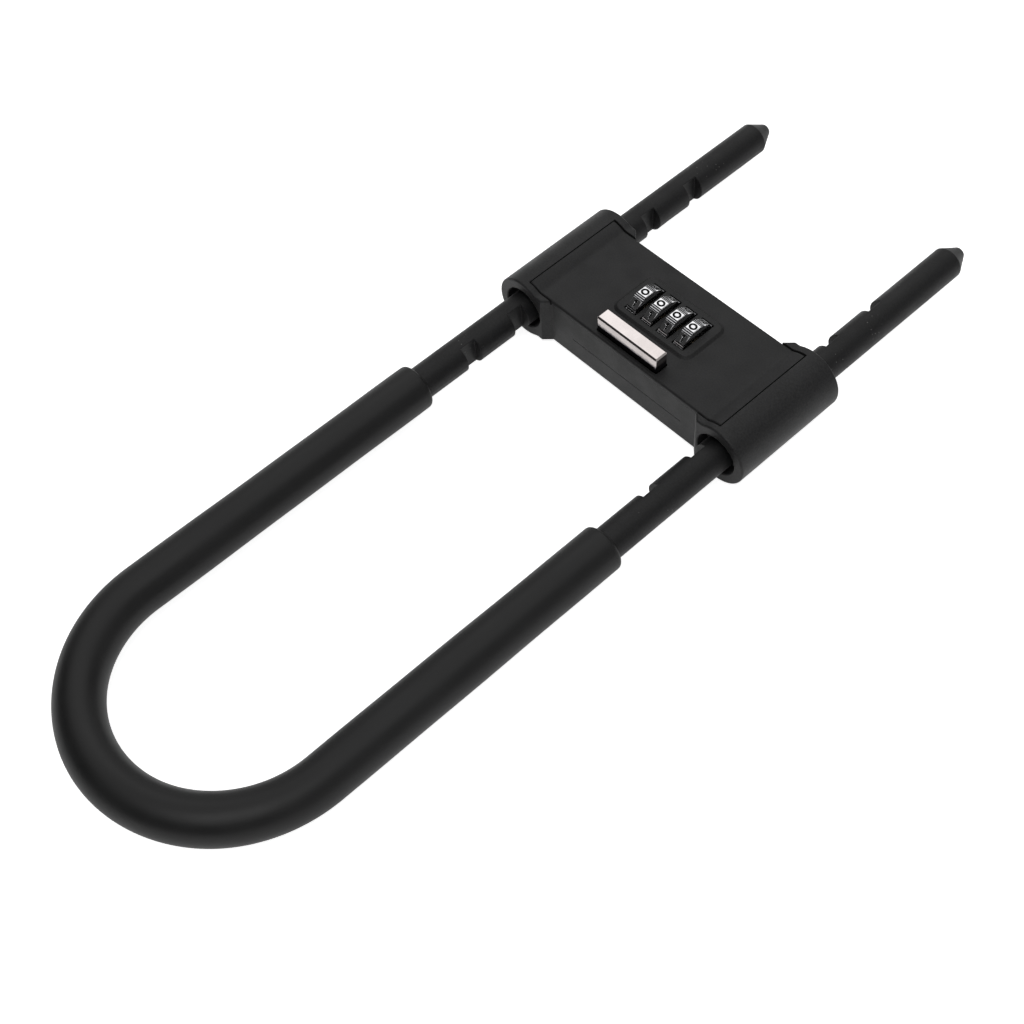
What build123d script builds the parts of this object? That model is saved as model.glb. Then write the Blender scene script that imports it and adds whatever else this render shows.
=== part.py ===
from build123d import *
import math
import os

# Combination lock: a long U-shaped shackle whose two notched legs pass through a body with
# four dial wheels and a release button.
#
# Frame: millimetres. X runs across the two legs (left is -X), +Y runs along the legs toward
# their free tips, +Z comes out of the dial face. "Front" is -Y, the side of the bend and the
# button. Pieces are drawn from the plane that holds both leg axes, then lifted by half the
# slab's thickness, so the origin of the finished lock is the middle of the body's flat back.

# ---------------------------------------------------------------- shared dimensions
# shackle
leg_x = 50.0            # leg axis to centre plane
rod_r = 6.5
bend_y = -206.2         # centre of the half-round bend

# lock body
tube_r = 13.0
root_r = 3.5            # concave root between slab and tube
ear_y = 25.9            # half length of the leg tubes
slab_front = -22.7
slab_rear = 22.1
slab_hz = 11.05         # half thickness of the slab
cover_x = 48.55         # half width of the cover plate
cover_z = 9.2           # underside of the cover plate
floor_z = -9.4          # cavity floor
bore_r = 8.9            # leg bores

# cover screws
screw_x = 35.0
screw_y = (-17.5, 16.5)
boss_pocket_z = 3.0     # bottom of the boss pockets and of the threaded holes

# dial group
wheel_pitch = 8.13
wheel_y = 1.8
wheel_z = 6.6
wheel_centre = (wheel_y, wheel_z)
wheel_w = 4.4
wheel_x = [(k - 1.5) * wheel_pitch for k in range(4)]
gate_r = 3.4            # gate collar of a code cam
neck_r = 2.8            # cam neck and axle spacer
axle_r = 2.0
axle_bore_r = axle_r + 0.05
groove_x = 21.1         # middle of a clip groove
bracket_x = 19.7        # middle of an axle bracket
bracket_t = 2.0
bracket_hy = 5.0        # half length of a bracket foot

# release button and its carrier
btn_hx = 15.2
btn_front = -20.6
btn_rear = -14.7
btn_y = (btn_front + btn_rear) / 2
btn_corner_r = 0.7
btn_screw_x = 9.0
flange_top = 9.1
flange_bot = 7.5
travel = 5.0            # length of the carrier slots in Z
spring_x = 23.0
spring_y = -17.45

# bolts
bolt_y = -8.75
bolt_w = 6.4
bolt_hz = 4.5
bolt_pin_x = 23.0
bolt_pin_r = 1.25       # pin head
bolt_pin_start = bolt_y + 2     # rear end of the pin and of its hole

# fence
fence_front = 12.2
fence_rear = 14.2
fence_bot = 5.2
fence_pin_y = 13.2
fence_pin_z = 1.0
fence_pin_r = 1.0       # pin head

lift = Location((0, 0, slab_hz))
STAND = (Align.CENTER, Align.CENTER, Align.MIN)     # solid stands on its location
HANG = (Align.CENTER, Align.CENTER, Align.MAX)      # solid hangs from its location


# ---------------------------------------------------------------- helpers
# The helpers that draw hold no builder block of their own: they add to the caller's.
def xz(y):
    """Sketch plane at the given Y: local axes are world X and Z, extrusion goes to -Y."""
    return Plane.XZ.offset(-y)


def yz(x):
    """Sketch plane at the given X: local axes are world Y and Z, extrusion goes to +X."""
    return Plane.YZ.offset(x)


def both_sides(x, *rest):
    """The same point on the left and on the right."""
    return [(-x, *rest), (x, *rest)]


def screw_spots(z):
    """The four cover screw positions at height z."""
    return [(x, y, z) for x in (-screw_x, screw_x) for y in screw_y]


def save(builder, name):
    builder.part.label = name
    export_step(builder.part.moved(lift), f"parts/{name}.step")


def draw_body_profile(sketch):
    """Slab section between the two round leg tubes, with concave roots."""
    Rectangle(2 * leg_x, 2 * slab_hz)
    with Locations(*both_sides(leg_x, 0)):
        Circle(tube_r)
    fillet([v for v in sketch.vertices() if 38 < abs(v.X) < 47], radius=root_r)


def draw_hoop(left_end, right_end):
    """Centre line of the shackle: left leg, bend, right leg."""
    Line((-leg_x, left_end, 0), (-leg_x, bend_y, 0))
    ThreePointArc((-leg_x, bend_y, 0), (0, bend_y - leg_x, 0), (leg_x, bend_y, 0))
    Line((leg_x, bend_y, 0), (leg_x, right_end, 0))


def cut_pin_slot(start, run, rise, pin_r):
    """Slanted slot in a sketch, for a pin that moves by (run, rise) from its start."""
    clearance = 0.06
    middle = (start[0] + run / 2, start[1] + rise / 2, 0)
    with Locations(Location(middle, (0, 0, math.degrees(math.atan2(rise, run))))):
        SlotCenterToCenter(math.hypot(rise, run), 2 * (pin_r + clearance), mode=Mode.SUBTRACT)


# ---------------------------------------------------------------- housing
def cut_screw_pockets():
    """Boss pocket above, shank hole through, head recess below."""
    with Locations(*screw_spots(boss_pocket_z)):
        Cylinder(3.15, 8, align=STAND, mode=Mode.SUBTRACT)
    with Locations(*screw_spots(0)):
        Cylinder(1.6, 24, mode=Mode.SUBTRACT)
    with Locations(*screw_spots(-slab_hz)):
        Cylinder(2.95, 2.4, align=STAND, mode=Mode.SUBTRACT)


def add_floor_fittings():
    """Spring spigots, fence rails and bracket sockets on the cavity floor."""
    spigot_r, spigot_h = 1.9, 2.6
    rail_x, rail_y = 8.0, 16.2
    rail_w, rail_len = 4.0, 8.2
    rail_gap = 0.1          # below the fence
    socket_fit = 0.1
    socket_depth = 0.6 / 2  # the cutter is centred on the floor

    with Locations(*both_sides(spring_x, spring_y, floor_z)):
        Cylinder(spigot_r, spigot_h, align=STAND)
    with Locations(*both_sides(rail_x, rail_y, floor_z)):
        Box(rail_w, rail_len, fence_bot - rail_gap - floor_z, align=STAND)
    with Locations(*both_sides(bracket_x, wheel_y, floor_z)):
        Box(
            bracket_t + socket_fit, 2 * bracket_hy + socket_fit, 2 * socket_depth,
            mode=Mode.SUBTRACT,
        )


def make_housing():
    """One casting: a slab between two round leg tubes, hollowed for the mechanism."""
    facet_x = 37.0          # the slab face ends here and a 45 degree facet follows
    facet_over = 4.0        # facet cutter beyond the tube ends
    rim_r = 0.75
    low_edge_r = 0.6
    seam = 0.5              # gap round the cover plate
    recess_tube_r = tube_r - 1.9
    cavity_x, cavity_front, cavity_rear = 31.0, -20.9, 20.3
    cavity_corner_r = 1.0
    mouth_bevel = 0.35
    channel_x, channel_len = 36.5, 13.0
    channel_fit = 0.2
    line_size = (56, 0.24, 0.3)
    line_spot = (2.0, slab_front, -1.7)

    with BuildPart() as housing:
        with BuildSketch(xz(ear_y)) as profile:
            draw_body_profile(profile)
        extrude(amount=2 * ear_y)

        # slab faces sit back from the tube ends, joined to them by 45 degree facets
        with BuildSketch(Plane.XY.offset(-20)):
            for end, face_y in ((-1, slab_front), (1, slab_rear)):
                outer_x = facet_x + ear_y - abs(face_y)
                tube_end = end * ear_y
                beyond = end * (ear_y + facet_over)
                with BuildLine():
                    Polyline(
                        (-outer_x, tube_end), (-outer_x, beyond),
                        (outer_x, beyond), (outer_x, tube_end),
                        (facet_x, face_y), (-facet_x, face_y), close=True,
                    )
                make_face()
        extrude(amount=40, mode=Mode.SUBTRACT)

        # rounded rim round each tube end, carried on along the top and bottom of the facets
        rims = [
            e for e in housing.edges()
            if slab_rear + 0.7 < abs(e.center().Y) < ear_y + 0.1
            and (e.geom_type == GeomType.CIRCLE or abs(e.center().Z) > 5)
        ]
        fillet(rims, radius=rim_r)
        low_edges = [
            e for e in housing.edges().filter_by(Axis.X)
            if abs(e.center().Z + slab_hz) < 0.01 and e.length > 60
        ]
        fillet(low_edges, radius=low_edge_r)

        # recess that takes the cover plate; the tube walls below it stay round
        with BuildSketch(xz(slab_rear + seam)):
            with Locations((0, cover_z)):
                Rectangle(2 * (cover_x + seam), 10, align=(Align.CENTER, Align.MIN))
            with Locations(*both_sides(leg_x, 0)):
                Circle(recess_tube_r, mode=Mode.SUBTRACT)
        extrude(amount=slab_rear - slab_front + 2 * seam, mode=Mode.SUBTRACT)

        # cavity for the mechanism
        with BuildSketch(Plane.XY.offset(floor_z)):
            with Locations((0, (cavity_front + cavity_rear) / 2)):
                RectangleRounded(2 * cavity_x, cavity_rear - cavity_front, cavity_corner_r)
        extrude(amount=30, mode=Mode.SUBTRACT)

        # leg bores with bevelled mouths
        with BuildSketch(xz(ear_y + 1)):
            with Locations(*both_sides(leg_x, 0)):
                Circle(bore_r)
        extrude(amount=2 * ear_y + 2, mode=Mode.SUBTRACT)
        for x in (-leg_x, leg_x):
            for end in (-1, 1):
                with Locations(Plane(origin=(x, end * ear_y, 0), z_dir=(0, -end, 0))):
                    Cone(
                        bore_r + mouth_bevel, bore_r, mouth_bevel,
                        align=STAND, mode=Mode.SUBTRACT,
                    )

        # bolt channels from the cavity into the bores
        with Locations(*both_sides(channel_x, bolt_y, 0)):
            Box(
                channel_len, bolt_w + channel_fit, 2 * bolt_hz + channel_fit,
                mode=Mode.SUBTRACT,
            )

        cut_screw_pockets()
        add_floor_fittings()

        # shallow line across the front face
        with Locations(line_spot):
            Box(*line_size, mode=Mode.SUBTRACT)
    save(housing, "housing")


# ---------------------------------------------------------------- cover plate
def make_cover_plate():
    tube_cut_r = tube_r - 1.85
    top_edge_r = 0.9
    pad_y, pad_top = 1.85, 12.05
    pad_sink = 0.01         # pad base below the plate's top, so that the two join
    pad_base = (39.4, 22.9, 4.2)    # X size, Y size, corner radius
    pad_crown = (36.9, 20.5, 3.0)
    window_w, window_r = 6.0, 9.95
    hub_relief_r, hub_relief_hx = 4.1, 18.8
    slot_fit = 0.5
    boss_r, boss_len = 3.0, 6.2
    boss_sink = 0.3
    thread_r, thread_len = 1.5, 6.0

    with BuildPart() as cover:
        with BuildSketch(xz(slab_rear)) as profile:
            draw_body_profile(profile)
        extrude(amount=slab_rear - slab_front)
        with BuildSketch(xz(slab_rear + 1)):
            with Locations((0, cover_z)):
                Rectangle(2 * cover_x, 10, align=(Align.CENTER, Align.MIN))
            with Locations(*both_sides(leg_x, 0)):
                Circle(tube_cut_r, mode=Mode.SUBTRACT)
        extrude(amount=slab_rear - slab_front + 2, mode=Mode.INTERSECT)
        top_edges = [
            e for e in cover.edges().filter_by(Axis.X)
            if e.center().Z > slab_hz - 0.01 and e.length > 60
        ]
        front_top = [e for e in top_edges if e.center().Y < 0]
        rear_top = [e for e in top_edges if e.center().Y > 0]
        fillet(front_top, radius=top_edge_r)
        fillet(rear_top, radius=top_edge_r)

        # raised pad round the dial windows, with a bevelled border
        for z, pad_size in ((slab_hz - pad_sink, pad_base), (pad_top, pad_crown)):
            with BuildSketch(Plane.XY.offset(z)):
                with Locations((0, pad_y)):
                    RectangleRounded(*pad_size)
        loft()

        # dial windows, round inside to follow the wheels
        for x in wheel_x:
            with BuildSketch(yz(x - window_w / 2)):
                with Locations(wheel_centre):
                    Circle(window_r)
            extrude(amount=window_w, mode=Mode.SUBTRACT)
        # relief for the cams under the window ribs
        with BuildSketch(yz(-hub_relief_hx)):
            with Locations(wheel_centre):
                Circle(hub_relief_r)
        extrude(amount=2 * hub_relief_hx, mode=Mode.SUBTRACT)
        # button slot
        with BuildSketch(Plane.XY.offset(cover_z - 1)):
            with Locations((0, btn_y)):
                RectangleRounded(
                    2 * btn_hx + slot_fit, btn_rear - btn_front + slot_fit, btn_corner_r
                )
        extrude(amount=6, mode=Mode.SUBTRACT)
        # threaded bosses under the plate
        with Locations(*screw_spots(cover_z + boss_sink)):
            Cylinder(boss_r, boss_len, align=HANG)
        with Locations(*screw_spots(boss_pocket_z)):
            Cylinder(thread_r, thread_len, align=STAND, mode=Mode.SUBTRACT)
    save(cover, "cover_plate")


def make_cover_screws():
    """Four socket head screws driven in from the underside."""
    head_r, head_h = 2.75, 2.1
    head_inset = 0.25       # head above the body's back
    shank_r, screw_len = 1.45, 19.0
    hex_r, hex_top = 1.45, 1.6

    with BuildPart() as screws:
        with Locations(*screw_spots(-slab_hz + head_inset)):
            Cylinder(head_r, head_h, align=STAND)
            Cylinder(shank_r, screw_len, align=STAND)
        with BuildSketch(Plane.XY.offset(-slab_hz)):
            with Locations(*[(x, y) for x, y, z in screw_spots(0)]):
                RegularPolygon(hex_r, 6)
        extrude(amount=hex_top, mode=Mode.SUBTRACT)
    save(screws, "cover_screws")


# ---------------------------------------------------------------- legs and shackle
def make_leg_bushes():
    """Four identical guide bushes, pressed into the tubes on both sides of the bolt."""
    bush_in, bush_out = 14.0, 21.0      # distances from the X axis
    bush_r = bore_r - 0.02
    bush_bore_r = rod_r + 0.08
    lip_bevel = 0.8

    with BuildPart() as bushes:
        for rear_end in (-bush_in, bush_out):
            with BuildSketch(xz(rear_end)):
                with Locations(*both_sides(leg_x, 0)):
                    Circle(bush_r)
                    Circle(bush_bore_r, mode=Mode.SUBTRACT)
            extrude(amount=bush_out - bush_in)
        lips = [
            e for e in bushes.edges().filter_by(GeomType.CIRCLE)
            if abs(e.radius - bush_bore_r) < 0.01 and abs(abs(e.center().Y) - bush_out) < 0.01
        ]
        chamfer(lips, length=lip_bevel)
    save(bushes, "leg_bushes")


def make_shackle_bar():
    shoulder_y = 104.0      # end of the full bar diameter
    tip_y = shoulder_y + 7.8
    taper_r = 2.45          # small end of the taper, where the end bevel starts
    tip_r = 1.75            # flat end
    bevel_len = 0.55
    notch_count = 6
    notch_pitch = 23.9
    notch_first = -53.0     # tip-side wall of the first notch
    notch_w = 7.1           # along the leg
    notch_depth = 4.2
    cutter_x, cutter_z = 8.0, 16.0

    with BuildPart() as bar:
        with BuildLine():
            draw_hoop(shoulder_y, shoulder_y)
        with BuildSketch(xz(shoulder_y)):
            with Locations((-leg_x, 0)):
                Circle(rod_r)
        sweep()
        # tapered lead-in tips
        for x in (-leg_x, leg_x):
            with BuildSketch(Plane.XY):
                with BuildLine():
                    Polyline(
                        (x, shoulder_y), (x + rod_r, shoulder_y),
                        (x + taper_r, tip_y - bevel_len), (x + tip_r, tip_y),
                        (x, tip_y), close=True,
                    )
                make_face()
            revolve(axis=Axis((x, 0, 0), (0, 1, 0)), revolution_arc=360)
        # locking notches, flat floored, on the inner side of each leg
        cutter_mid = leg_x - rod_r + notch_depth - cutter_x / 2
        for k in range(notch_count):
            notch_mid = notch_first + k * notch_pitch - notch_w / 2
            for side in (-1, 1):
                with Locations((side * cutter_mid, notch_mid, 0)):
                    Box(cutter_x, notch_w, cutter_z, mode=Mode.SUBTRACT)
    save(bar, "shackle_bar")


def make_shackle_sleeve():
    """Tube over the bend and most of both legs, with rounded mouths."""
    sleeve_r = 9.0
    sleeve_bore_r = 6.55
    left_end, right_end = -79.7, -81.3
    mouth_len = 3.0
    mouth_r = 1.5

    with BuildPart() as sleeve:
        with BuildLine():
            draw_hoop(left_end - mouth_len, right_end - mouth_len)
        with BuildSketch(xz(left_end - mouth_len)):
            with Locations((-leg_x, 0)):
                Circle(sleeve_r)
                Circle(sleeve_bore_r, mode=Mode.SUBTRACT)
        sweep()
        for x, end in ((-leg_x, left_end), (leg_x, right_end)):
            inner, outer = x + sleeve_bore_r, x + sleeve_r
            arc_start = (outer, end - mouth_r)
            arc_end = (outer - mouth_r, end)
            with BuildSketch(Plane.XY):
                with BuildLine():
                    Polyline((inner, end - mouth_len), (outer, end - mouth_len), arc_start)
                    RadiusArc(arc_start, arc_end, -mouth_r)
                    Polyline(arc_end, (inner, end), (inner, end - mouth_len))
                make_face()
            revolve(axis=Axis((x, 0, 0), (0, 1, 0)), revolution_arc=360)
    save(sleeve, "shackle_sleeve")


# ---------------------------------------------------------------- dial wheels and cams
flat_r = 9.5            # wheel centre to a digit flat
flat_hw = 1.95          # half width of a digit flat
# one side of a grip rib and the valley after it: degrees from the flat's middle, radius
rib_stations = ((12.9, 9.15), (14.6, 9.6), (16.2, 9.6), (18.0, 9.15))


def wheel_rim():
    """Ten flat digit pads, with two fine grip ribs between each two."""
    right = []
    for degrees, radius in rib_stations:
        angle = math.radians(degrees)
        right.append((radius * math.sin(angle), radius * math.cos(angle)))
    # the valley is shared with the next pad, so the left half leaves it out
    left = [(-across, out) for across, out in reversed(right[:-1])]
    pad = left + [(-flat_hw, flat_r), (flat_hw, flat_r)] + right
    rim = []
    for i in range(10):
        cos, sin = math.cos(math.radians(36 * i)), math.sin(math.radians(36 * i))
        for across, out in pad:
            rim.append((
                wheel_y + across * cos + out * sin,
                wheel_z - across * sin + out * cos,
            ))
    return rim


def make_digit_wheel(x, name):
    wheel_bore_r = 5.05
    side_bevel = 0.22

    with BuildPart() as wheel:
        with BuildSketch(yz(x - wheel_w / 2)):
            with BuildLine():
                Polyline(*wheel_rim(), close=True)
            make_face()
            with Locations(wheel_centre):
                Circle(wheel_bore_r, mode=Mode.SUBTRACT)
        extrude(amount=wheel_w)
        # side edges of the digit flats
        sides = [
            e for e in wheel.edges()
            if abs(abs(e.center().X - x) - wheel_w / 2) < 0.01
            and math.hypot(e.center().Y - wheel_y, e.center().Z - wheel_z) > flat_r - 0.05
            and e.length > 3
        ]
        chamfer(sides, length=side_bevel)
    save(wheel, name)


def make_code_cam(x, name):
    """Hub inside the wheel, gate collar beside it, then a spacer neck."""
    hub_r = 5.0
    collar_len, neck_len = 1.7, 1.95
    gate_flat = 2.35        # axle centre to the gate flat
    cutter_size = (1.8, 2.0, 3.2)

    collar_x = x + wheel_w / 2
    steps = (       # start in X, radius, length
        (x - wheel_w / 2, hub_r, wheel_w),
        (collar_x, gate_r, collar_len),
        (collar_x + collar_len, neck_r, neck_len),
    )
    with BuildPart() as cam:
        for start, radius, length in steps:
            with BuildSketch(yz(start)):
                with Locations(wheel_centre):
                    Circle(radius)
            extrude(amount=length)
        # the gate: a flat on the +Y side, toward the fence
        gate_mid = (collar_x + cutter_size[0] / 2, wheel_y + gate_flat + cutter_size[1] / 2)
        with Locations((*gate_mid, wheel_z)):
            Box(*cutter_size, mode=Mode.SUBTRACT)
        with BuildSketch(yz(x - 5)):
            with Locations(wheel_centre):
                Circle(axle_bore_r)
        extrude(amount=12, mode=Mode.SUBTRACT)
    save(cam, name)


# ---------------------------------------------------------------- axle group
def make_wheel_axle():
    axle_hx = 22.0
    groove_w = 0.6
    groove_r = 1.5

    with BuildPart() as axle:
        with BuildSketch(yz(-axle_hx)):
            with Locations(wheel_centre):
                Circle(axle_r)
        extrude(amount=2 * axle_hx)
        # grooves for the retaining clips
        for x in (-groove_x, groove_x):
            with BuildSketch(yz(x - groove_w / 2)):
                with Locations(wheel_centre):
                    Circle(axle_r + 1)
                    Circle(groove_r, mode=Mode.SUBTRACT)
            extrude(amount=groove_w, mode=Mode.SUBTRACT)
    save(axle, "wheel_axle")


def make_axle_spacer():
    spacer_x, spacer_len = -18.6, 4.1

    with BuildPart() as spacer:
        with BuildSketch(yz(spacer_x)):
            with Locations(wheel_centre):
                Circle(neck_r)
                Circle(axle_bore_r, mode=Mode.SUBTRACT)
        extrude(amount=spacer_len)
    save(spacer, "axle_spacer")


def make_axle_brackets():
    foot_z = floor_z - 0.28
    shoulder_z, top_z = 5.0, 9.1
    top_hy = 3.4
    hole_r = axle_r + 0.03

    front, rear = wheel_y - bracket_hy, wheel_y + bracket_hy
    with BuildPart() as brackets:
        for x in (-bracket_x, bracket_x):
            with BuildSketch(yz(x - bracket_t / 2)):
                with BuildLine():
                    Polyline(
                        (front, foot_z), (rear, foot_z), (rear, shoulder_z),
                        (wheel_y + top_hy, top_z), (wheel_y - top_hy, top_z),
                        (front, shoulder_z), close=True,
                    )
                make_face()
                with Locations(wheel_centre):
                    Circle(hole_r, mode=Mode.SUBTRACT)
            extrude(amount=bracket_t)
    save(brackets, "axle_brackets")


def make_axle_clips():
    clip_t = 0.5
    clip_r, clip_bore_r = 2.5, 1.55
    mouth_w, mouth_h = 2.2, 2.4
    mouth_drop = 2.0        # mouth centre below the axle

    with BuildPart() as clips:
        for x in (-groove_x, groove_x):
            with BuildSketch(yz(x - clip_t / 2)):
                with Locations(wheel_centre):
                    Circle(clip_r)
                    Circle(clip_bore_r, mode=Mode.SUBTRACT)
                    with Locations((0, -mouth_drop)):
                        Rectangle(mouth_w, mouth_h, mode=Mode.SUBTRACT)
            extrude(amount=clip_t)
    save(clips, "axle_clips")


def make_detent_spring():
    """Leaf spring with one finger under each wheel."""
    leaf_t = 0.5
    strip_y, strip_len, strip_w = -6.0, 30.0, 5.0
    finger_w = 3.2
    finger_outline = (      # (Y, Z)
        (-5.0, floor_z), (-3.2, floor_z), (1.0, -4.9), (2.6, -4.9), (5.4, -6.6),
        (5.7, -6.2), (2.9, -4.1), (1.9, -3.3), (0.6, -4.4), (-3.7, floor_z + leaf_t),
        (-5.0, floor_z + leaf_t),
    )

    with BuildPart() as spring:
        with Locations((0, strip_y, floor_z)):
            Box(strip_len, strip_w, leaf_t, align=STAND)
        for x in wheel_x:
            with BuildSketch(yz(x - finger_w / 2)):
                with BuildLine():
                    Polyline(*finger_outline, close=True)
                make_face()
            extrude(amount=finger_w)
    save(spring, "detent_spring")


# ---------------------------------------------------------------- fence
def make_fence_plate():
    """Bar with two end posts and four teeth that reach between the wheels to the cams."""
    bar_len, bar_top = 33.0, 9.1
    bar_t = fence_rear - fence_front
    post_x, post_w = 15.6, 1.8
    post_bot, post_h = -0.6, 6.2
    tooth_w, tooth_h = 1.3, 2.0
    tooth_x = wheel_w / 2 + 0.85            # from the wheel's middle
    tooth_tip = wheel_y + gate_r + 0.2
    tooth_root = fence_front + 0.1
    hole_r, hole_hx = 0.8, 17.0

    with BuildPart() as fence:
        with Locations((0, (fence_front + fence_rear) / 2, fence_bot)):
            Box(bar_len, bar_t, bar_top - fence_bot, align=STAND)
        with Locations(*both_sides(post_x, fence_pin_y, post_bot)):
            Box(post_w, bar_t, post_h, align=STAND)
        for x in wheel_x:
            with Locations((x + tooth_x, (tooth_tip + tooth_root) / 2, wheel_z)):
                Box(tooth_w, tooth_root - tooth_tip, tooth_h)
        with BuildSketch(yz(-hole_hx)):
            with Locations((fence_pin_y, fence_pin_z)):
                Circle(hole_r)
        extrude(amount=2 * hole_hx, mode=Mode.SUBTRACT)
    save(fence, "fence_plate")


def make_fence_pins():
    shank_r = 0.78
    pin_in, head_in, pin_out = 14.7, 16.55, 18.3    # distances from the centre plane

    with BuildPart() as pins:
        for inner, radius in ((pin_in, shank_r), (head_in, fence_pin_r)):
            for start in (-pin_out, inner):
                with BuildSketch(yz(start)):
                    with Locations((fence_pin_y, fence_pin_z)):
                        Circle(radius)
                extrude(amount=pin_out - inner)
    save(pins, "fence_pins")


# ---------------------------------------------------------------- release button group
def make_release_button():
    btn_top = 18.2
    crown_bevel = 0.6
    thread_r, thread_len = 1.25, 5.2

    with BuildPart() as button:
        with BuildSketch(Plane.XY.offset(flange_top)):
            with Locations((0, btn_y)):
                RectangleRounded(2 * btn_hx, btn_rear - btn_front, btn_corner_r)
        extrude(amount=btn_top - flange_top)
        crown = button.faces().sort_by(Axis.Z)[-1].edges()
        chamfer(crown, length=crown_bevel)
        with Locations(*both_sides(btn_screw_x, btn_y, flange_top)):
            Cylinder(thread_r, thread_len, align=STAND, mode=Mode.SUBTRACT)
    save(button, "release_button")


def make_button_carrier():
    """Flange under the button, web with two bolt slots, two side arms with fence slots."""
    flange_len, flange_front = 56.0, -20.7
    web_rear, web_t = -12.2, 1.8    # the flange ends at the web's rear face too
    web_len, web_bot = 60.4, -3.2
    web_top = flange_bot + 0.1
    bolt_travel, fence_travel = 4.2, 1.5
    arm_in, arm_out = 16.8, 18.4
    arm_outline = (         # (Y, Z)
        (-12.3, -3.0), (18.6, -3.0), (18.6, 9.0), (11.9, 9.0), (11.9, 2.8), (-12.3, 2.8),
    )
    screw_hole_r = 1.35

    with BuildPart() as carrier:
        with Locations((0, (flange_front + web_rear) / 2, flange_bot)):
            Box(flange_len, web_rear - flange_front, flange_top - flange_bot, align=STAND)
        with BuildSketch(xz(web_rear)):
            with Locations((0, web_bot)):
                Rectangle(web_len, web_top - web_bot, align=(Align.CENTER, Align.MIN))
            for side in (-1, 1):
                cut_pin_slot((side * bolt_pin_x, 0), side * bolt_travel, travel, bolt_pin_r)
        extrude(amount=web_t)
        for start in (-arm_out, arm_in):
            with BuildSketch(yz(start)):
                with BuildLine():
                    Polyline(*arm_outline, close=True)
                make_face()
                cut_pin_slot((fence_pin_y, fence_pin_z), fence_travel, travel, fence_pin_r)
            extrude(amount=arm_out - arm_in)
        with Locations(*both_sides(btn_screw_x, btn_y, flange_bot)):
            Cylinder(screw_hole_r, 4, mode=Mode.SUBTRACT)
    save(carrier, "button_carrier")


def make_button_screws():
    head_r, head_h = 2.3, 1.6
    shank_r, shank_len = 1.22, 6.4
    hex_r, hex_depth = 1.15, 0.9

    with BuildPart() as screws:
        with Locations(*both_sides(btn_screw_x, btn_y, flange_bot)):
            Cylinder(head_r, head_h, align=HANG)
            Cylinder(shank_r, shank_len, align=STAND)
        with BuildSketch(Plane.XY.offset(flange_bot - head_h)):
            with Locations(*both_sides(btn_screw_x, btn_y)):
                RegularPolygon(hex_r, 6)
        extrude(amount=hex_depth, mode=Mode.SUBTRACT)
    save(screws, "button_screws")


def make_button_springs():
    """Two compression springs between the cavity floor and the carrier flange."""
    spring_r = 2.65         # outside radius
    wire_r = 0.35
    end_gap = 0.02
    turns = 7.0

    coil_h = flange_bot - floor_z - 2 * wire_r - 2 * end_gap
    with BuildPart() as springs:
        for x in (-spring_x, spring_x):
            with BuildLine():
                coil = Helix(
                    pitch=coil_h / turns, height=coil_h, radius=spring_r - wire_r,
                    center=(x, spring_y, floor_z + wire_r + end_gap),
                )
            with BuildSketch(Plane(origin=coil @ 0, z_dir=coil % 0)):
                Circle(wire_r)
            sweep(path=coil)
    save(springs, "button_springs")


# ---------------------------------------------------------------- bolts
def make_bolt(side, name):
    bolt_in, bolt_tip = 19.0, 43.0      # distances from the centre plane
    nose_bevel = 0.6
    hole_r = 0.92

    with BuildPart() as bolt:
        with Locations((side * (bolt_in + bolt_tip) / 2, bolt_y, 0)):
            Box(bolt_tip - bolt_in, bolt_w, 2 * bolt_hz)
        nose = bolt.faces().sort_by(Axis.X)[-1 if side > 0 else 0].edges()
        chamfer(nose, length=nose_bevel)
        with BuildSketch(xz(bolt_pin_start)):
            with Locations((side * bolt_pin_x, 0)):
                Circle(hole_r)
        extrude(amount=8, mode=Mode.SUBTRACT)
    save(bolt, name)


def make_bolt_pin(side, name):
    steps = (       # rear end in Y, radius, length
        (bolt_pin_start, 0.9, 5.3),
        (bolt_y - bolt_w / 2 - 0.02, bolt_pin_r, 2.2),
    )
    with BuildPart() as pin:
        for rear_end, radius, length in steps:
            with BuildSketch(xz(rear_end)):
                with Locations((side * bolt_pin_x, 0)):
                    Circle(radius)
            extrude(amount=length)
    save(pin, name)


# ---------------------------------------------------------------- build everything
os.makedirs("parts", exist_ok=True)

make_housing()
make_cover_plate()
make_cover_screws()
make_leg_bushes()
make_shackle_bar()
make_shackle_sleeve()
for number, x in enumerate(wheel_x, start=1):
    make_digit_wheel(x, f"digit_wheel_{number}")
    make_code_cam(x, f"code_cam_{number}")
make_wheel_axle()
make_axle_spacer()
make_axle_brackets()
make_axle_clips()
make_detent_spring()
make_fence_plate()
make_fence_pins()
make_release_button()
make_button_carrier()
make_button_screws()
make_button_springs()
for side, tag in ((-1, "left"), (1, "right")):
    make_bolt(side, f"bolt_{tag}")
    make_bolt_pin(side, f"bolt_pin_{tag}")
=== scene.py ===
# A four-wheel combination padlock with a soft sleeve on its shackle, lying on a studio floor.
# The shackle legs run along Y with the bend at -Y, the wheels turn about X, and the release
# button is pressed down along Z. Units are metres.
import bpy
import bmesh
import math
from mathutils import Matrix, Vector


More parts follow.
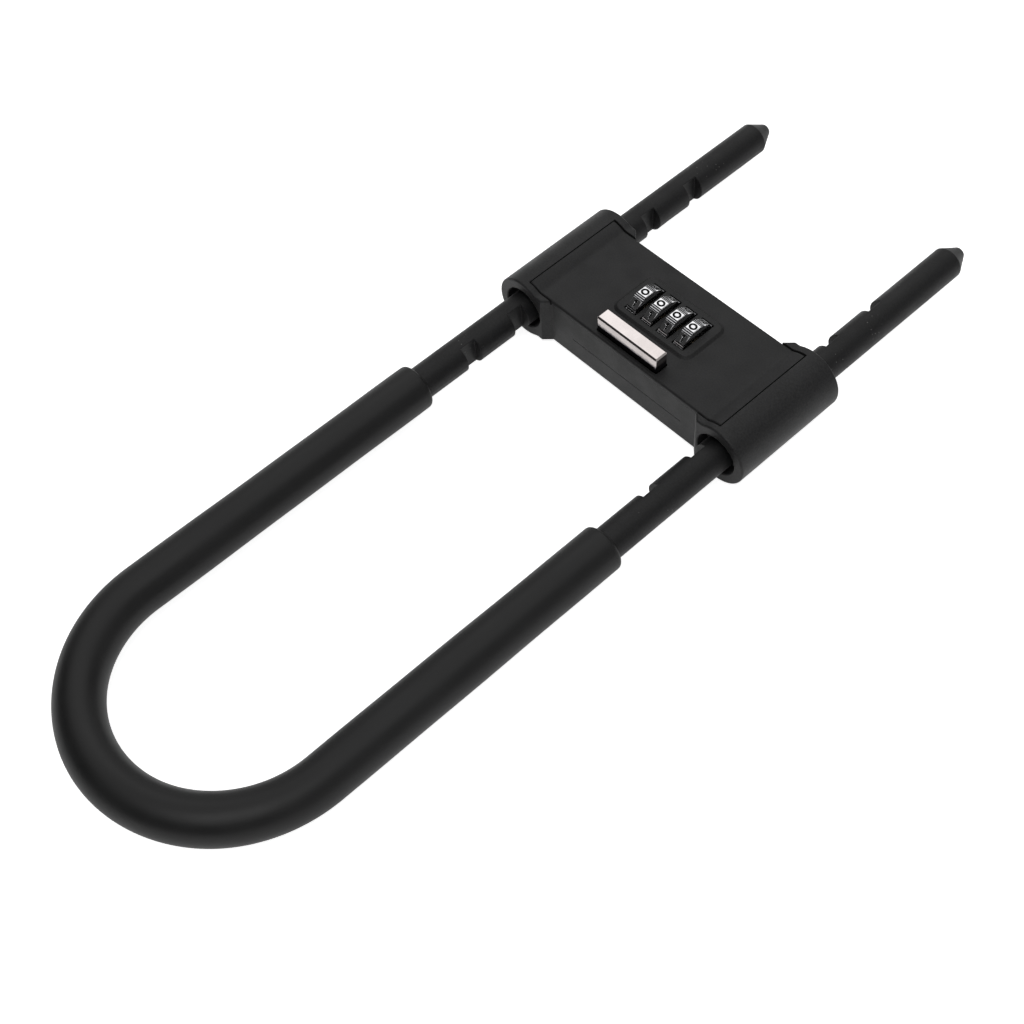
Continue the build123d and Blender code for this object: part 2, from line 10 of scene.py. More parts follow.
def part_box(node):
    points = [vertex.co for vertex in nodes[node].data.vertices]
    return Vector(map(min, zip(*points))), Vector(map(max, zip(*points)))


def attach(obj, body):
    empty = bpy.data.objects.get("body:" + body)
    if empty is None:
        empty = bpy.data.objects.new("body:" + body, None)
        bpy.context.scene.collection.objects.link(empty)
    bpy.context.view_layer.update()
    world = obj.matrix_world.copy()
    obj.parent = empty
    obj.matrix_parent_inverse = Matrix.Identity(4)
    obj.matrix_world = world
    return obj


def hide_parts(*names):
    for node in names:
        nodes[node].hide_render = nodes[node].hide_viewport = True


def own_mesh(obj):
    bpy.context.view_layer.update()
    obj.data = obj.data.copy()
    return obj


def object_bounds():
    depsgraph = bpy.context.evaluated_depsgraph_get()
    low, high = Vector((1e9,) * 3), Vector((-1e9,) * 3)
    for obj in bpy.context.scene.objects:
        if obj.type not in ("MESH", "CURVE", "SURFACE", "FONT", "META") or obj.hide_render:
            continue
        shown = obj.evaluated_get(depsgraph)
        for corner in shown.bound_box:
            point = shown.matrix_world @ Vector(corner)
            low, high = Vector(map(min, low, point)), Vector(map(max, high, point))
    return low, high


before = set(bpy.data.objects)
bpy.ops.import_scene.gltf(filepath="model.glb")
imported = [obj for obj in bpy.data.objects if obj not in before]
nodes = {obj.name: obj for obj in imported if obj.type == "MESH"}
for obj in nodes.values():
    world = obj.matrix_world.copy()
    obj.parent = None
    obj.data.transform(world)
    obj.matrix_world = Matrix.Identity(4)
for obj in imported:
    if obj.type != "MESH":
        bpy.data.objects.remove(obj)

MM = 0.001
scene = bpy.context.scene
scene.view_settings.view_transform = "Standard"
scene.view_settings.look = "None"

cad_lo, cad_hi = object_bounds()
bar_lo, bar_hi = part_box("shackle_bar")
axis_z = (bar_lo.z + bar_hi.z) / 2      # height of the plane that holds both leg axes


# ------------------------------------------------------------------ shader helper
class Shader:
    """A principled material with short methods that add nodes and return their output."""

    def __init__(self, name):
        self.mat = bpy.data.materials.new(name)
        self.mat.use_nodes = True
        self.tree = self.mat.node_tree
        self.tree.nodes.clear()
        output = self.add("ShaderNodeOutputMaterial")
        self.bsdf = self.add("ShaderNodeBsdfPrincipled")
        self.put(output.inputs["Surface"], self.bsdf.outputs[0])
        self.coords = self.add("ShaderNodeTexCoord").outputs["Object"]

    def add(self, kind, **settings):
        node = self.tree.nodes.new(kind)
        for key, value in settings.items():
            setattr(node, key, value)
        return node

    def put(self, socket, value):
        """Link value to the socket if it is an output, otherwise set it."""
        if isinstance(value, bpy.types.NodeSocket):
            self.tree.links.new(value, socket)
        else:
            socket.default_value = value

    def set(self, **inputs):
        """Set principled inputs, with underscores for the spaces in their names."""
        for key, value in inputs.items():
            self.put(self.bsdf.inputs[key.replace("_", " ")], value)

    def noise(self, scale, detail=2.0, rough=0.5, vector=None):
        node = self.add("ShaderNodeTexNoise")
        node.inputs["Scale"].default_value = scale
        node.inputs["Detail"].default_value = detail
        node.inputs["Roughness"].default_value = rough
        self.put(node.inputs["Vector"], vector or self.coords)
        return node.outputs["Fac"]

    def ramp(self, value, start, end, low=0.0, high=1.0):
        """Smooth step from low to high as value goes from start to end."""
        node = self.add("ShaderNodeMapRange", interpolation_type="SMOOTHSTEP")
        self.put(node.inputs["Value"], value)
        node.inputs["From Min"].default_value = start
        node.inputs["From Max"].default_value = end
        node.inputs["To Min"].default_value = low
        node.inputs["To Max"].default_value = high
        return node.outputs[0]

    def spread(self, noise, low, high):
        """Stretch the middle of a noise, where most of its values lie, over low to high."""
        return self.ramp(noise, start=0.3, end=0.7, low=low, high=high)

    def math(self, operation, a, b):
        node = self.add("ShaderNodeMath", operation=operation)
        self.put(node.inputs[0], a)
        self.put(node.inputs[1], b)
        return node.outputs[0]

    def mix(self, factor, a, b):
        node = self.add("ShaderNodeMix", data_type="RGBA")
        # sockets 6, 7 and output 2 are the colour ones
        self.put(node.inputs[0], factor)
        self.put(node.inputs[6], a)
        self.put(node.inputs[7], b)
        return node.outputs[2]

    def tint(self, base, tone):
        """The base colour multiplied by tone."""
        node = self.add("ShaderNodeVectorMath", operation="SCALE")
        node.inputs[0].default_value = base
        self.put(node.inputs["Scale"], tone)
        return node.outputs[0]

    def stretched(self, scale):
        node = self.add("ShaderNodeMapping")
        node.inputs["Scale"].default_value = scale
        self.put(node.inputs["Vector"], self.coords)
        return node.outputs[0]

    def bump(self, height, distance, strength, normal=None):
        node = self.add("ShaderNodeBump")
        node.inputs["Distance"].default_value = distance
        node.inputs["Strength"].default_value = strength
        self.put(node.inputs["Height"], height)
        if normal is not None:
            self.put(node.inputs["Normal"], normal)
        return node.outputs[0]

    def bevel(self, radius):
        node = self.add("ShaderNodeBevel", samples=4)
        node.inputs["Radius"].default_value = radius
        return node.outputs[0]

    def edge(self, radius):
        """About 1 near a sharp edge and 0 on a flat, from the rounded normal."""
        flat_normal = self.add("ShaderNodeNewGeometry").outputs["Normal"]
        node = self.add("ShaderNodeVectorMath", operation="DOT_PRODUCT")
        self.put(node.inputs[0], self.bevel(radius))
        self.put(node.inputs[1], flat_normal)
        return self.ramp(node.outputs["Value"], start=0.995, end=0.86)

    def specks(self, scale, rim, core, patch_scale, cover):
        """1 inside small dots, kept only in patches; a higher cover gives more patches."""
        cells = self.add("ShaderNodeTexVoronoi")
        cells.inputs["Scale"].default_value = scale
        self.put(cells.inputs["Vector"], self.coords)
        dots = self.ramp(cells.outputs["Distance"], start=rim, end=core)
        patches = self.ramp(self.noise(patch_scale, detail=1.0),
                            start=1 - cover - 0.02, end=1 - cover + 0.02)
        return self.math("MULTIPLY", dots, patches)


# ------------------------------------------------------------------ materials
# Noise scales are per metre; bump heights and edge radii are in metres.
def coat(name, base, rough, grain=2600.0, grain_height=0.00003, peel=700.0,
         peel_height=0.00004, edge_radius=0.00035, specular=0.5, specks=0.0,
         edge_wear_and_highlight=0.5, sheen=0.0, mottle=0.18):
    """Black coat over metal: fine powder grain, faint orange peel, edges painted paler, partly as
    rubbed wear and partly as a painted highlight.
    """
    shader = Shader(name)
    slow = shader.noise(scale=38.0, detail=4.0, rough=0.6)
    fine = shader.noise(scale=grain, detail=3.0, rough=0.65)
    ripple = shader.noise(scale=peel)
    tone = shader.spread(slow, low=0.93, high=1.07)
    mottling = shader.spread(fine, low=1 - mottle, high=1 + mottle)
    tone = shader.math("MULTIPLY", tone, mottling)
    edge = shader.edge(edge_radius)
    # edges lightened in colour: partly rubbed wear, partly a painted highlight on the rounded edges
    tone = shader.math("ADD", tone, shader.math("MULTIPLY", edge, edge_wear_and_highlight))
    colour = shader.tint(base, tone)
    if specks:
        dots = shader.specks(scale=700.0, rim=0.16, core=0.07, patch_scale=61.0, cover=specks)
        colour = shader.mix(dots, colour, (0.16, 0.16, 0.155, 1))
    edge_rough = 0.26                   # rubbed edges are polished toward this roughness
    polish = shader.math("MULTIPLY", edge, rough - edge_rough)
    uneven = shader.spread(shader.noise(scale=90.0, detail=3.0), low=rough - 0.05, high=rough + 0.06)
    shader.set(Base_Color=colour, Roughness=shader.math("SUBTRACT", uneven, polish),
               Specular_IOR_Level=specular, Sheen_Weight=sheen, Sheen_Roughness=0.35)
    normal = shader.bump(ripple, distance=peel_height, strength=0.7,
                         normal=shader.bevel(edge_radius))
    shader.set(Normal=shader.bump(fine, distance=grain_height, strength=0.9, normal=normal))
    return shader.mat


def metal(name, base, rough, lay=None, lay_height=0.000004, edge_radius=0.00015, spots=0.0,
          rough_spread=0.06, shade_foot=None):
    """Bare or plated metal. lay stretches a grinding grain along X, Y and Z; shade_foot is the pair
    of heights between which a painted shade, standing for the reflected dark plate and the shade low
    on the part, fades to the plain metal colour."""
    shader = Shader(name)
    patches = shader.noise(scale=120.0, detail=4.0, rough=0.6)
    colour = shader.tint(base, shader.spread(patches, low=0.92, high=1.05))
    if spots:
        spotting = shader.ramp(shader.noise(scale=900.0), start=0.68, end=0.74, high=spots)
        colour = shader.mix(spotting, colour, (0.45, 0.36, 0.36, 1))
    if shade_foot:
        # painted shade and reflection: the colour is darkened toward the bottom of the part, fading
        # out higher up
        split = shader.add("ShaderNodeSeparateXYZ")
        shader.put(split.inputs[0], shader.coords)
        centred = shader.math("SUBTRACT", shader.noise(scale=700.0, detail=3.0, rough=0.6), 0.5)
        ragged = shader.math("MULTIPLY", centred, 2.2 * MM)
        height = shader.math("ADD", split.outputs["Z"], ragged)
        unshaded = shader.ramp(height, start=shade_foot[0], end=shade_foot[1])
        colour = shader.mix(unshaded, (0.05, 0.045, 0.055, 1), colour)
    uneven = shader.spread(shader.noise(scale=500.0, detail=3.0),
                           low=max(0.02, rough - rough_spread), high=rough + rough_spread)
    shader.set(Base_Color=colour, Metallic=1.0, Roughness=uneven)
    normal = shader.bevel(edge_radius)
    if lay:
        grain = shader.noise(scale=1.0, detail=3.0, rough=0.6, vector=shader.stretched(lay))
        normal = shader.bump(grain, distance=lay_height, strength=0.8, normal=normal)
    shader.set(Normal=normal)
    return shader.mat


def sleeve_skin():
    """Soft black skin with a fine grain, gentle waves and a few pale specks."""
    shader = Shader("sleeve_soft_skin")
    slow = shader.noise(scale=30.0, detail=3.0, rough=0.55)
    fine = shader.noise(scale=5200.0, rough=0.6)
    tone = shader.math("MULTIPLY", shader.spread(slow, low=0.86, high=1.14),
                       shader.spread(fine, low=0.94, high=1.06))
    colour = shader.tint((0.0092, 0.0092, 0.0094), tone)
    dots = shader.specks(scale=260.0, rim=0.035, core=0.015, patch_scale=47.0, cover=0.32)
    shader.set(
        Base_Color=shader.mix(dots, colour, (0.35, 0.35, 0.34, 1)),
        Roughness=shader.spread(shader.noise(scale=60.0, detail=3.0), low=0.40, high=0.47),
        Specular_IOR_Level=0.34)
    waves = shader.bump(shader.noise(scale=160.0), distance=0.00006, strength=0.5)
    shader.set(Normal=shader.bump(fine, distance=0.000006, strength=0.8, normal=waves))
    return shader.mat


def numeral_ink():
    """Near-black fill of the engraved numerals."""
    shader = Shader("numeral_fill")
    shader.set(
        Base_Color=shader.mix(shader.noise(scale=1500.0),
                              (0.002, 0.002, 0.0022, 1), (0.006, 0.006, 0.0065, 1)),
        Specular_IOR_Level=0.12,
        Roughness=shader.spread(shader.noise(scale=2500.0), low=0.35, high=0.5))
    return shader.mat


button_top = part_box("release_button")[1].z
finish = {
    "body": coat("housing_powder_coat", (0.0145, 0.0145, 0.0150), rough=0.45, specular=0.3,
                 grain=1500.0, grain_height=0.000045, peel=620.0, peel_height=0.00003,
                 sheen=0.10, mottle=0.40, edge_wear_and_highlight=1.6),
    "cover": coat("cover_powder_coat", (0.0150, 0.0150, 0.0155), rough=0.48, specular=0.3,
                  grain=1900.0, grain_height=0.000020, peel=900.0, peel_height=0.000015,
                  edge_radius=0.0003, sheen=0.03, mottle=0.30),
    "bar": coat("bar_black_coat", (0.0080, 0.0080, 0.0084), rough=0.46, specular=0.3,
                grain=1700.0, grain_height=0.00004, peel=800.0, peel_height=0.00002,
                specks=0.40, edge_radius=0.0004, sheen=0.06, mottle=0.35),
    "sleeve": sleeve_skin(),
    "wheel": metal("wheel_plating", (0.80, 0.80, 0.81), rough=0.10, lay=(9000, 300, 300),
                   lay_height=0.0000008, edge_radius=0.00016, rough_spread=0.03),
    # a darker metal painted onto the groove walls as shade
    "groove": metal("wheel_groove_painted_shade", (0.25, 0.25, 0.26), rough=0.24,
                    edge_radius=0.00003, rough_spread=0.04),
    "button": metal("button_plating", (0.70, 0.645, 0.63), rough=0.07, edge_radius=0.00005,
                    spots=0.12, rough_spread=0.03,
                    # the lower part of the button front is painted darker as shade and reflection of
                    # the plate
                    shade_foot=(button_top - 4.6 * MM, button_top - 2.7 * MM)),
    # brass cams darkened as painted shade, so the gaps between the wheels read black
    "cam": metal("cam_brass_painted_gap_shade", (0.18, 0.15, 0.11), rough=0.36, lay=(9000, 400, 400)),
    "steel": metal("ground_steel", (0.58, 0.58, 0.60), rough=0.26, lay=(300, 9000, 9000)),
    "sheet": metal("pressed_sheet", (0.50, 0.51, 0.53), rough=0.36, lay=(500, 7000, 7000)),
    "bolt": metal("hardened_bolt", (0.50, 0.50, 0.52), rough=0.30, lay=(300, 9000, 9000)),
    "spring": metal("spring_wire", (0.60, 0.58, 0.54), rough=0.24),
    "zinc": metal("zinc_casting", (0.44, 0.45, 0.47), rough=0.48),
    "oxide": coat("black_oxide_screws", (0.03, 0.03, 0.033), rough=0.38, grain=4000,
                  grain_height=0.00001, peel=1500, peel_height=0.000008, specular=0.7),
    "bush": coat("bush_polymer", (0.012, 0.012, 0.0125), rough=0.48, grain=3200,
                 grain_height=0.00001, peel=600, peel_height=0.00001, edge_wear_and_highlight=0.2),
    "ink": numeral_ink(),
}

# finish of each CAD part; parts not listed are ground steel
part_finish = {
    "housing": "body", "cover_plate": "cover", "cover_screws": "oxide", "leg_bushes": "bush",
    "shackle_bar": "bar", "axle_brackets": "zinc", "axle_clips": "spring",
    "detent_spring": "spring", "fence_plate": "sheet", "release_button": "button",
    "button_carrier": "sheet", "button_screws": "oxide", "button_springs": "spring",
    "bolt_left": "bolt", "bolt_right": "bolt",
}
for number in range(1, 5):
    part_finish[f"digit_wheel_{number}"] = "wheel"
    part_finish[f"code_cam_{number}"] = "cam"


def paint(mesh, *finishes):
    mesh.materials.clear()
    for key in finishes:
        mesh.materials.append(finish[key])


for name, part in nodes.items():
    paint(part.data, part_finish.get(name, "steel"))


# ------------------------------------------------------------------ mesh helpers
def add_object(name, data):
    obj = bpy.data.objects.new(name, data)
    scene.collection.objects.link(obj)
    return obj


def object_from_bmesh(bm, name, mat):
    mesh = bpy.data.meshes.new(name)
    bm.normal_update()
    bm.to_mesh(mesh)
    bm.free()
    mesh.shade_smooth()
    mesh.materials.append(mat)
    return add_object(name, mesh)


def bridge(bm, ring_a, ring_b, flip=False):
    """Join two rings of vertices with a band of quads."""
    count = len(ring_a)
    for j in range(count):
        k = (j + 1) % count
        quad = (ring_a[j], ring_a[k], ring_b[k], ring_b[j])
        if flip:
            quad = (ring_a[j], ring_b[j], ring_b[k], ring_a[k])
        bm.faces.new(quad)


# ------------------------------------------------------------------ soft sleeve
BAR_R = 6.5 * MM
BORE_R = 6.56 * MM
SKIN_INSET = 0.02 * MM          # skin lies this far inside the CAD sleeve
MOUTH_ROUND = 1.5 * MM          # rounding of the outer rim at each mouth
WAVE_FADE = 6 * MM              # unevenness grows from zero over this depth
MOUTH_DEPTHS = (0.0, 0.12, 0.3, 0.6, 1.0, 1.5, 2.2, 3.2)    # first rings of a leg, mm
LEG_WINDOW = 20 * MM            # vertices this far inward of an axis belong to its leg
LEG_STEPS = 44
BEND_STEPS = 96
SLEEVE_SEGMENTS = 96
MID_DEPTH = 1.0                 # depth given to the bend, beyond all effects of the mouths


def sleeve_path(outer_r, bottom_y):
    """Centreline from the left (-X) mouth to the right: point, tangent, depth from mouth."""
    leg_x = (bar_hi.x - bar_lo.x) / 2 - BAR_R
    bend_y = bottom_y + outer_r + leg_x
    corners = [v.co for v in nodes["shackle_sleeve"].data.vertices]
    left_mouth = max(c.y for c in corners if c.x < min(LEG_WINDOW - leg_x, 0))
    right_mouth = max(c.y for c in corners if c.x > leg_x - LEG_WINDOW)

    def leg(x, mouth_y, heading):
        ys = [mouth_y - depth * MM for depth in MOUTH_DEPTHS]
        start = ys[-1]
        ys += [start + (bend_y - start) * i / LEG_STEPS for i in range(1, LEG_STEPS)]
        return [(Vector((x, y, axis_z)), Vector((0, heading, 0)), mouth_y - y) for y in ys]

    path = leg(-leg_x, left_mouth, heading=-1)
    for i in range(BEND_STEPS + 1):
        a = math.pi + math.pi * i / BEND_STEPS
        point = Vector((leg_x * math.cos(a), bend_y + leg_x * math.sin(a), axis_z))
        path.append((point, Vector((-math.sin(a), math.cos(a), 0)), MID_DEPTH))
    return path + leg(leg_x, right_mouth, heading=1)[::-1]


def build_sleeve():
    lo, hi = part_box("shackle_sleeve")
    outer_r = (hi.z - lo.z) / 2
    path = sleeve_path(outer_r, lo.y)
    bm = bmesh.new()

    def skin_radius(depth, run, a):
        radius = outer_r
        if depth < MOUTH_ROUND:
            t = 1 - depth / MOUTH_ROUND
            radius = outer_r - MOUTH_ROUND + MOUTH_ROUND * math.sqrt(max(0.0, 1 - t * t))
        fade = min(1.0, depth / WAVE_FADE)
        # the tube is hand pulled, so it is very slightly uneven along its length
        wave = (0.045 * math.sin(run * 58.0 + 1.3) + 0.03 * math.sin(run * 131.0 + 0.4)
                + 0.02 * math.sin(3 * a + run * 40.0))
        return radius + fade * wave * MM - SKIN_INSET

    def add_ring(point, tangent, radius_at):
        side = Vector((tangent.y, -tangent.x, 0))
        ring = []
        for j in range(SLEEVE_SEGMENTS):
            a = 2 * math.pi * j / SLEEVE_SEGMENTS
            r = radius_at(a)
            ring.append(bm.verts.new(
                point + side * (r * math.cos(a)) + Vector((0, 0, r * math.sin(a)))))
        return ring

    outer = []
    run = 0.0                   # length along the centreline
    previous = path[0][0]
    for point, tangent, depth in path:
        run += (point - previous).length
        previous = point
        outer.append(add_ring(point, tangent, lambda a: skin_radius(depth, run, a)))
    # inner wall, seen only at the mouths, closes the tube to a solid skin
    inner = [add_ring(point, tangent, lambda a: BORE_R) for point, tangent, _ in path]
    for ring_a, ring_b in zip(outer, outer[1:]):
        bridge(bm, ring_a, ring_b)
    for ring_a, ring_b in zip(inner, inner[1:]):
        bridge(bm, ring_a, ring_b, flip=True)
    # the original face order at the mouths alternates between the two ends
    for j in range(SLEEVE_SEGMENTS):
        k = (j + 1) % SLEEVE_SEGMENTS
        bm.faces.new((outer[0][j], inner[0][j], inner[0][k], outer[0][k]))
        bm.faces.new((outer[-1][j], outer[-1][k], inner[-1][k], inner[-1][j]))
    bmesh.ops.recalc_face_normals(bm, faces=bm.faces)
    return object_from_bmesh(bm, "sleeve_skin", finish["sleeve"])


sleeve = build_sleeve()
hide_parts("shackle_sleeve")
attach(sleeve, "shackle")


# ------------------------------------------------------------------ engraved digit wheels
def arc(cx, cy, rx, ry, start, end, steps=18):
    """Points on an ellipse from start to end degrees."""
    points = []
    for i in range(steps + 1):
        a = math.radians(start + (end - start) * i / steps)
        points.append((cx + rx * math.cos(a), cy + ry * math.sin(a)))
    return points


# strokes of each numeral in millimetres, x to the right and y up
STROKES = {
    0: [arc(0, 0, 1.30, 1.16, 0, 360, 40)],
    1: [[(0.20, 1.20), (0.20, -1.20)], [(0.20, 1.20), (-0.50, 0.70)]],
    2: [arc(0, 0.50, 1.00, 0.70, 168, -38), [(0.79, 0.07), (-0.98, -1.20)],
        [(-0.98, -1.20), (1.04, -1.20)]],
    3: [arc(-0.06, 0.60, 0.90, 0.60, 150, -90), arc(-0.06, -0.56, 1.04, 0.64, 90, -150)],
    4: [[(0.46, 1.20), (0.46, -1.20)], [(0.46, 1.20), (-1.12, -0.46)],
        [(-1.12, -0.46), (1.12, -0.46)]],
    5: [arc(-0.02, -0.42, 1.06, 0.78, 128, -150), [(-0.66, 0.18), (-0.56, 1.20)],
        [(-0.56, 1.20), (0.86, 1.20)]],
    6: [arc(0, -0.44, 1.04, 0.76, 0, 360, 32), arc(0.72, -0.44, 1.76, 1.64, 92, 180)],
    7: [[(-0.98, 1.20), (0.98, 1.20)], [(0.98, 1.20), (-0.28, -1.20)]],
    8: [arc(0, 0.60, 0.88, 0.60, 0, 360, 30), arc(0, -0.56, 1.06, 0.64, 0, 360, 32)],
    9: [arc(0, 0.44, 1.04, 0.76, 0, 360, 32), arc(-0.72, 0.44, 1.76, 1.64, -88, 0)],
}
STROKE_R = [0.42] + [0.345] * 9     # stroke radius of numerals 0 to 9, mm
STROKE_RISE = 0.05                  # stroke axis above the pad, mm
STROKE_SEGMENTS = 12
CAP_RADII = (0.97, 0.8, 0.5)        # rings of a rounded stroke end, as shares of its radius
PAD_R = 9.5 * MM                    # wheel axis to the numeral pads
PAD_STEP = 36.0                     # degrees from one numeral to the next


def stroke_tube(bm, points, place, radius):
    """A round-ended tube along points, or a ring when the first and last points meet."""
    closed = math.dist(points[0], points[-1]) < 1e-6
    if closed:
        points = points[:-1]
    count = len(points)
    stations = []               # point, tangent, share of the radius
    for i, point in enumerate(points):
        before = points[(i - 1) % count] if (closed or i > 0) else point
        after = points[(i + 1) % count] if (closed or i < count - 1) else point
        tangent = Vector((after[0] - before[0], after[1] - before[1], 0)).normalized()
        stations.append((Vector((point[0], point[1], 0)), tangent, 1.0))
    if not closed:
        first, first_dir, _ = stations[0]
        last, last_dir, _ = stations[-1]
        head = [(first - first_dir * radius * math.sqrt(1 - share * share), first_dir, share)
                for share in reversed(CAP_RADII)]
        tail = [(last + last_dir * radius * math.sqrt(1 - share * share), last_dir, share)
                for share in CAP_RADII]
        stations = head + stations + tail
    rings = []
    for point, tangent, share in stations:
        side = Vector((tangent.y, -tangent.x, 0))
        ring = []
        for j in range(STROKE_SEGMENTS):
            a = 2 * math.pi * (j + 0.5) / STROKE_SEGMENTS
            corner = (point + side * (share * radius * math.cos(a))
                      + Vector((0, 0, STROKE_RISE + share * radius * math.sin(a))))
            ring.append(bm.verts.new(place @ (corner * MM)))
        rings.append(ring)
    for ring_a, ring_b in zip(rings, rings[1:]):
        bridge(bm, ring_a, ring_b)
    if closed:
        bridge(bm, rings[-1], rings[0])
    else:
        bm.faces.new(rings[0][::-1])
        bm.faces.new(rings[-1])


def stroke_cutter(layer, centre):
    """One stroke of every numeral that has that many, set around the wheel."""
    bm = bmesh.new()
    for digit, strokes in STROKES.items():
        if layer >= len(strokes):
            continue
        # 0 is on top (+Z) and the higher numerals follow toward -Y
        turn = Matrix.Rotation(math.radians(PAD_STEP * digit), 4, "X")
        place = Matrix.Translation(centre) @ turn @ Matrix.Translation(Vector((0, 0, PAD_R)))
        stroke_tube(bm, strokes[layer], place, STROKE_R[digit])
    bmesh.ops.recalc_face_normals(bm, faces=bm.faces)
    mesh = bpy.data.meshes.new("cutter")
    bm.to_mesh(mesh)
    bm.free()
    return add_object("cutter", mesh)


def colour_wheel(mesh, centre):
    """Ink in the numerals, a darker metal as painted shade in the grip grooves, plating elsewhere.
    """
    paint(mesh, "wheel", "ink", "groove")
    step = math.radians(PAD_STEP)
    for face in mesh.polygons:
        c = face.center - centre
        angle = math.atan2(-c.y, c.z)
        pad_angle = round(angle / step) * step
        outward = Vector((0, -math.sin(pad_angle), math.cos(pad_angle)))
        along = Vector((0, math.cos(pad_angle), math.sin(pad_angle)))
        on_pad = abs(c.dot(along)) < 1.6 * MM and abs(c.x) < 1.9 * MM
        sunk = PAD_R - 0.4 * MM < c.dot(outward) < PAD_R - 0.02 * MM
        face.material_index = 1 if on_pad and sunk else 0
        # the walls of the fine grip grooves get a darker metal as painted shade, their rib tops do
        # not
        radial = Vector((0, c.y, c.z))
        between_pads = abs(angle - pad_angle) > math.radians(11.7)
        if abs(face.normal.x) < 0.3 and between_pads and radial.length > 8.9 * MM:
            if face.normal.dot(radial.normalized()) < 0.93:
                face.material_index = 2


def engrave_wheel(centre):
    """The CAD wheel's own shape with ten numerals cut into its pads."""
    mesh = nodes["digit_wheel_1"].data.copy()
    bm = bmesh.new()
    bm.from_mesh(mesh)
    bmesh.ops.remove_doubles(bm, verts=bm.verts, dist=1e-7)
    bmesh.ops.recalc_face_normals(bm, faces=bm.faces)
    bm.to_mesh(mesh)
    bm.free()
    work = add_object("wheel_work", mesh)
    for layer in range(3):
        cutter = stroke_cutter(layer, centre)
        cut = work.modifiers.new("cut", "BOOLEAN")
        cut.operation = "DIFFERENCE"
        cut.solver = "EXACT"
        cut.object = cutter
        bpy.context.view_layer.update()
        depsgraph = bpy.context.evaluated_depsgraph_get()
        result = bpy.data.meshes.new_from_object(work.evaluated_get(depsgraph))
        work.modifiers.clear()
        bpy.data.objects.remove(cutter)
        # a cut that loses the wheel itself is left out
        if len(result.vertices) > len(work.data.vertices):
            work.data = result
    mesh = work.data
    colour_wheel(mesh, centre)
    mesh.shade_smooth()
    mesh.set_sharp_from_angle(angle=math.radians(24))
    bpy.data.objects.remove(work)
    return mesh


def part_centre(name):
    lo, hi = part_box(name)
    return (lo + hi) / 2


first_centre = part_centre("digit_wheel_1")
wheel_mesh = engrave_wheel(first_centre)
for number in range(1, 5):
    mesh = wheel_mesh.copy()
    mesh.transform(Matrix.Translation(part_centre(f"digit_wheel_{number}") - first_centre))
    wheel = add_object(f"engraved_wheel_{number}", mesh)
    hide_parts(f"digit_wheel_{number}")
    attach(wheel, f"dial_{number}")

# ------------------------------------------------------------------ button springs
springs = add_object("coil_springs", nodes["button_springs"].data.copy())
paint(springs.data, "spring")
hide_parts("button_springs")
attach(springs, "lock_body")
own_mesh(springs)


# ------------------------------------------------------------------ camera
def add_camera():
    data = bpy.data.cameras.new("camera")
    data.sensor_width = 36.0
    data.lens = 57.443027
    data.clip_start = 0.01
    data.clip_end = 20.0
    camera = add_object("camera", data)
    right = Vector((0.6799990, 0.7312462, -0.0536686))
    down = Vector((0.5805805, -0.5817038, -0.5696902))
    forward = Vector((-0.4478030, 0.3562298, -0.8201053))
    turn = Matrix((right, -down, -forward)).transposed().to_4x4()
    place = Vector((0.273554, -0.298334, 0.470177 + axis_z))
    camera.matrix_world = Matrix.Translation(place) @ turn
    scene.camera = camera


add_camera()


# ------------------------------------------------------------------ floor, light and world
def build_floor():
    """Pale glowing floor just under the lock, brighter to the camera than to other rays."""
    bm = bmesh.new()
    bmesh.ops.create_grid(bm, x_segments=8, y_segments=8, size=3.0)
    for v in bm.verts:
        v.co.z = cad_lo.z - 0.2 * MM
    shader = Shader("studio_floor")
    tone = shader.mix(shader.noise(scale=3.0), (0.80, 0.80, 0.80, 1), (0.84, 0.84, 0.84, 1))
    camera_ray = shader.add("ShaderNodeLightPath").outputs["Is Camera Ray"]
    shader.set(Base_Color=tone, Roughness=0.9, Specular_IOR_Level=0.0,
               Emission_Color=(1, 1, 1, 1),
               Emission_Strength=shader.ramp(camera_ray, start=0.0, end=1.0, low=0.38, high=0.86))
    return object_from_bmesh(bm, "studio_floor", shader.mat)


build_floor()


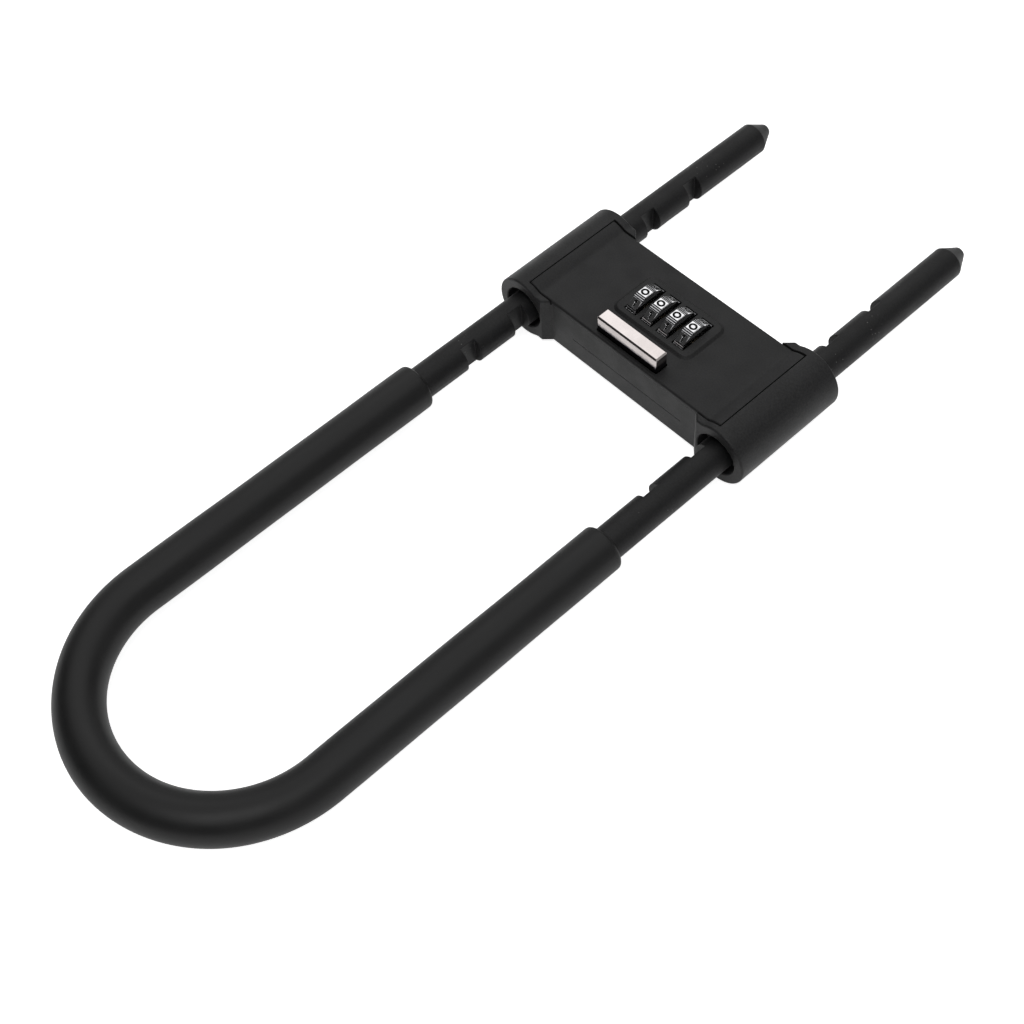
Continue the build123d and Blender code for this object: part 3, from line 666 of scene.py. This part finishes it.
def add_softbox():
    data = bpy.data.lights.new("top_softbox", "AREA")
    data.shape = "RECTANGLE"
    data.size = data.size_y = 1.3
    data.energy = 0.5
    light = add_object("top_softbox", data)
    light.location = (-0.35, 0.55, 1.6)
    aim = Vector((0, -0.05, 0)) - Vector((-0.35, 0.55, 1.6))
    light.rotation_mode = "QUATERNION"
    light.rotation_quaternion = aim.to_track_quat("-Z", "Y")


add_softbox()


def build_world():
    world = bpy.data.worlds.new("studio")
    world.use_nodes = True
    scene.world = world
    tree = world.node_tree
    tree.nodes.clear()
    output = tree.nodes.new("ShaderNodeOutputWorld")
    background = tree.nodes.new("ShaderNodeBackground")
    tree.links.new(background.outputs[0], output.inputs[0])
    coords = tree.nodes.new("ShaderNodeTexCoord")

    def glow(toward, start, full, high, low=0.0):
        """Smooth step from low to high as the direction turns toward a vector."""
        dot = tree.nodes.new("ShaderNodeVectorMath")
        dot.operation = "DOT_PRODUCT"
        tree.links.new(coords.outputs["Generated"], dot.inputs[0])
        dot.inputs[1].default_value = Vector(toward).normalized()
        ramp = tree.nodes.new("ShaderNodeMapRange")
        ramp.interpolation_type = "SMOOTHSTEP"
        tree.links.new(dot.outputs["Value"], ramp.inputs["Value"])
        ramp.inputs["From Min"].default_value = start
        ramp.inputs["From Max"].default_value = full
        ramp.inputs["To Min"].default_value = low
        ramp.inputs["To Max"].default_value = high
        return ramp.outputs[0]

    def add(a, b):
        node = tree.nodes.new("ShaderNodeMath")
        node.operation = "ADD"
        tree.links.new(a, node.inputs[0])
        tree.links.new(b, node.inputs[1])
        return node.outputs[0]

    # a soft box overhead, a low band at the camera's right, a screen beyond the lock
    # and a small strong lamp above, on the camera's side
    overhead = glow((-0.16, 0.20, 0.96), start=0.70, full=0.83, high=0.72)
    low_band = glow((0.92, 0.38, 0.10), start=0.15, full=0.85, high=0.34, low=0.04)
    back_screen = glow((-0.70, 0.66, 0.24), start=0.62, full=0.90, high=0.50)
    front_lamp = glow((0.22, -0.38, 0.90), start=0.89, full=0.97, high=1.5)
    sky = add(add(overhead, low_band), add(back_screen, front_lamp))
    tree.links.new(sky, background.inputs["Strength"])
    background.inputs["Color"].default_value = (1, 1, 1, 1)


build_world()
